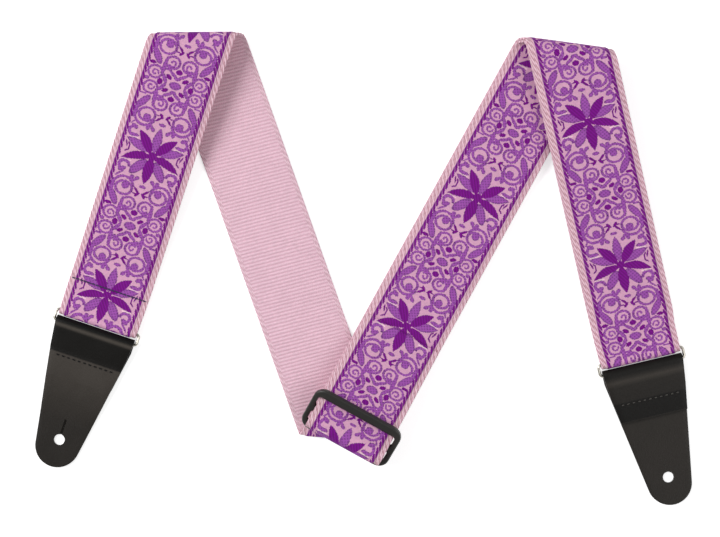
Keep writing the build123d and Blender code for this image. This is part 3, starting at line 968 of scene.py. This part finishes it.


# How bright each leather end is painted at each distance from its fold: dark over the fold, a painted highlight
# band just past it, then darker and lighter stretches. Each stop is the distance from its fold in millimetres, and
# how much
LEFT_FOLD_HIGHLIGHT_AND_TONE = (
    (0, 0), (3.2, 0), (4.2, 0.7), (4.8, 1), (5.6, 0.8), (6.8, 0.08), (8, 0.04),
    (21.2, 0.04), (22, 0.8), (32, 0.7), (46, 0.5), (62, 0.28), (89, 0.25),
)
RIGHT_FOLD_HIGHLIGHT_AND_TONE = (
    (0, 0.05), (5, 0.08), (7, 0.3), (8.8, 0.62), (10, 0.5), (12, 0.25),
    (21.4, 0.2), (22.4, 0.04), (33.4, 0.03), (34.4, 0.35), (89, 0.33),
)


class STRAP_OT_leather_ends(Operator):
    """Make the two leather button ends, each folded round its ring"""

    bl_idname = "guitar_strap.leather_ends"
    bl_label = "Leather Ends"

    def execute(self, context):
        leather_end(context, "left", LEFT_FOLD_HIGHLIGHT_AND_TONE, flap_on_top=False)
        leather_end(context, "right", RIGHT_FOLD_HIGHLIGHT_AND_TONE, flap_on_top=True)
        return {"FINISHED"}


def leather_outline(e):
    """Half a leather end's width at each distance from its fold, and the distances of the rows in its tip. It is a
    rectangle and a circle, with a straight side that touches the circle."""
    half = e.leather_width / 2
    centre = e.hole_from_fold + e.tip_from_hole - e.tip_radius
    tangent_angle = atan2(half, centre - e.taper_start)
    slope = asin(e.tip_radius / hypot(centre - e.taper_start, half))
    lean = tangent_angle - slope  # how far each side leans inwards
    touch = centre + e.tip_radius * sin(lean)
    first, last, steps = asin((touch - centre) / e.tip_radius), radians(88), 16
    tip_rows = [centre + e.tip_radius * sin(first + (last - first) * i / steps) for i in range(steps + 1)]

    def half_width(distance):
        if distance <= e.taper_start:
            return half
        if distance <= touch:
            return half - (distance - e.taper_start) * tan(lean)
        return max(sqrt(max(e.tip_radius**2 - (distance - centre) ** 2, 0)), e.tip_radius * cos(last))

    return half_width, tip_rows


def leather_end(context, side, stops, flap_on_top):
    """A leather end, with its flap above or beneath it, and with its button hole and slit."""
    s, e, c = context.scene.strap_sizes, context.scene.end_sizes, context.scene.strap_colours
    bar = Vector(joints[side + "_end_swing"]["pos_m"])
    towards = (bar - Vector(joints[side + "_ring_swing"]["pos_m"])).normalized()
    radius = bar.z - e.leather_thick / 2
    fold_edge = bar.z
    flap_step = e.leather_thick + e.leather_gap
    base = bar - UP * bar.z
    half_width, tip_rows = leather_outline(e)
    start = e.hole_from_fold + e.tip_from_hole if flap_on_top else e.flap_length
    origin = base + towards * (start - fold_edge) + UP * (e.leather_thick / 2)
    route = Route(plane(origin, towards.cross(UP), -towards), s)

    def from_fold(place):
        return (place.translation - base).dot(towards) + fold_edge

    def width(row):
        return 2 * half_width(from_fold(row.place))

    def walk_to(distance, outward=True):
        """Goes straight on, with a row at each change of the outline, to a distance from the fold."""
        here, apart = from_fold(route.place), 1e-5
        near, far = min(here, distance) + apart, max(here, distance) - apart
        marks = [mark for mark in (e.taper_start, *tip_rows) if near < mark < far]
        for mark in sorted(marks, reverse=not outward) + [distance]:
            route.straight(abs(mark - here))
            here = mark
            route.mark()

    route.mark()
    walk_to(fold_edge, False)
    quarter_turn = radius * pi / 2
    fold = route.along + quarter_turn
    route.come_back(radius, flap_step)
    if flap_on_top:
        walk_to(e.flap_length)
    else:
        # Past the end of the flap, the leather comes down to the flap's own level
        past_flap, lean_down, ease = 0.001, e.step_lean, s.return_ease
        walk_to(e.flap_length + past_flap)
        route.bend(lean_down, ease)
        route.straight((flap_step - 2 * ease * (1 - cos(lean_down))) / sin(lean_down))
        route.bend(-lean_down, ease)
        walk_to(tip_rows[-1])

    # The painted highlight band past the fold, and the darker and lighter stretches, measured from the fold
    highlight_and_tone = fold, fold_edge - quarter_turn, stops
    leather = handled_finish(side + "_black_leather", c.leather, c.leather_highlight_and_grain, highlight_and_tone=highlight_and_tone, **BLACK_LEATHER)
    piece = strip_piece(side + "_leather", route.rows, width, 0, e.leather_thick, e.edge_round, [leather], 12)

    # The hole, the closed slit beside it, and the slit's mouth, which opens a little on the smooth side
    hole = base + towards * (e.hole_from_fold - fold_edge)
    slit = hole - towards * (e.hole_radius + e.slit_length) / 2
    smooth_side = 0 if flap_on_top else e.leather_thick
    through, mouth_depth = 4 * e.leather_thick, 1.8 * e.leather_thick
    deselect()
    bpy.ops.mesh.primitive_cylinder_add(vertices=48, radius=e.hole_radius, depth=through, location=hole)
    cut_out(piece, context.object)
    for place, opening, depth in (
        (slit, e.slit_width, through),
        (slit + UP * smooth_side, e.slit_opening, mouth_depth),
    ):
        deselect()
        bpy.ops.mesh.primitive_cube_add(
            size=1,
            location=place,
            rotation=(0, 0, atan2(towards.y, towards.x)),
            scale=(e.hole_radius + e.slit_length, opening, depth),
        )
        cut_out(piece, context.object)
    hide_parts(side + "_end")
    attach(piece, side + "_button_end")


class STRAP_OT_fittings(Operator):
    """Finish the rings, the slider and the threads"""

    bl_idname = "guitar_strap.fittings"
    bl_label = "Rings, Slider and Threads"

    def execute(self, context):
        c = context.scene.strap_colours
        metal = handled_finish("plated_wire", c.metal, c.metal_light, **PLATED_WIRE)
        plastic = handled_finish("moulded_plastic", c.plastic, c.plastic_light, **MOULDED_PLASTIC)
        for nodes, material in (
            (("left_ring", "right_ring"), metal),
            (("slider",), plastic),
            (("anchor_stitches", "loop_stitches"), thread_finish("navy_sewing", c.navy, c.navy_light)),
            (("left_end_stitches",), thread_finish("sunk_black_sewing", c.thread_dark, c.thread_dark)),
            (("right_end_stitches",), thread_finish("black_sewing", c.leather, c.thread_light)),
            (("ribbon_seams",), thread_finish("ribbon_sewing", c.ground, c.webbing_pale, 0.06, 0.25)),
        ):
            for node in nodes:
                dress(frame["nodes"][node], material)
        return {"FINISHED"}


class STRAP_OT_stage(Operator):
    """Set the floor, the lamps and the camera"""

    bl_idname = "guitar_strap.stage"
    bl_label = "Stage"

    def execute(self, context):
        t = context.scene.stage_settings
        level = cad_low.z - t.floor_drop
        deselect()
        bpy.ops.mesh.primitive_plane_add(size=t.floor_size, location=(t.camera_x, t.camera_y, level))
        floor = context.object
        floor.name = "floor"
        d, surface, material = finish("floor", 0.9)
        cloud = d.noise(d.node("TexCoord", output="Object"), 3.0, 2.0)
        d.plug(d.blend(cloud, (0.8, 0.8, 0.8, 1), (0.82, 0.82, 0.82, 1)), surface["Base Color"])
        rays = d.tree.nodes.new("ShaderNodeLightPath").outputs
        mirrored = d.most(rays["Is Glossy Ray"], rays["Is Transmission Ray"])
        seen = d.most(rays["Is Camera Ray"], mirrored)
        surface["Emission Color"].default_value = (1, 1, 1, 1)
        d.plug(d.times(seen, t.floor_glow), surface["Emission Strength"])
        dress(floor, material)

        # Each lamp's place from the middle of the view, its power and its width
        middle = Vector((t.camera_x, t.camera_y, 0))
        lamps = (((-1.5, 0.6, 1.7), t.main_lamp, 1.2), ((1.3, -0.3, 1.9), t.second_lamp, 1.5))
        for place, energy, size in lamps:
            bpy.ops.object.light_add(type="AREA", location=middle + Vector(place))
            lamp = context.object
            lamp.data.energy = energy
            lamp.data.size = size
            lamp.rotation_euler = (-Vector(place)).to_track_quat("-Z", "Y").to_euler()
        world = bpy.data.worlds.new("studio")
        world.use_nodes = True
        background = world.node_tree.nodes["Background"]
        background.inputs["Color"].default_value = (1, 1, 1, 1)
        background.inputs["Strength"].default_value = t.sky
        context.scene.world = world

        sensor = 36
        bpy.ops.object.camera_add(location=(t.camera_x, t.camera_y, t.camera_height), rotation=(0, 0, 0))
        camera = context.object
        camera.data.sensor_width = sensor
        camera.data.lens = sensor * t.camera_height / t.view_width
        camera.data.clip_end = 10
        context.scene.camera = camera
        context.scene.view_settings.view_transform = "Standard"
        return {"FINISHED"}


class STRAP_PT_panel(Panel):
    bl_label = "Guitar Strap"
    bl_idname = "STRAP_PT_panel"
    bl_space_type = "VIEW_3D"
    bl_region_type = "UI"
    bl_category = "Guitar Strap"

    def draw(self, context):
        for operator in OPERATORS:
            self.layout.operator(operator.bl_idname)
        for name, group in GROUPS.items():
            box = self.layout.box()
            box.label(text=name.replace("_", " ").capitalize())
            for setting in group.__annotations__:
                box.prop(getattr(context.scene, name), setting)


GROUPS = {
    "strap_sizes": StrapSizes,
    "end_sizes": EndSizes,
    "slider_sizes": SliderSizes,
    "strap_colours": StrapColours,
    "stage_settings": StageSettings,
}
OPERATORS = (STRAP_OT_webbing, STRAP_OT_slider_webbing, STRAP_OT_leather_ends, STRAP_OT_fittings, STRAP_OT_stage)


def register():
    for group in GROUPS.values():
        bpy.utils.register_class(group)
    for operator in (*OPERATORS, STRAP_PT_panel):
        bpy.utils.register_class(operator)
    for name, group in GROUPS.items():
        setattr(bpy.types.Scene, name, PointerProperty(type=group))


def unregister():
    for name in GROUPS:
        delattr(bpy.types.Scene, name)
    for made in (STRAP_PT_panel, *reversed(OPERATORS), *GROUPS.values()):
        bpy.utils.unregister_class(made)


def main():
    register()
    bpy.ops.guitar_strap.webbing()
    bpy.ops.guitar_strap.slider_webbing()
    bpy.ops.guitar_strap.leather_ends()
    bpy.ops.guitar_strap.fittings()
    bpy.ops.guitar_strap.stage()


if __name__ == "__main__":
    main()
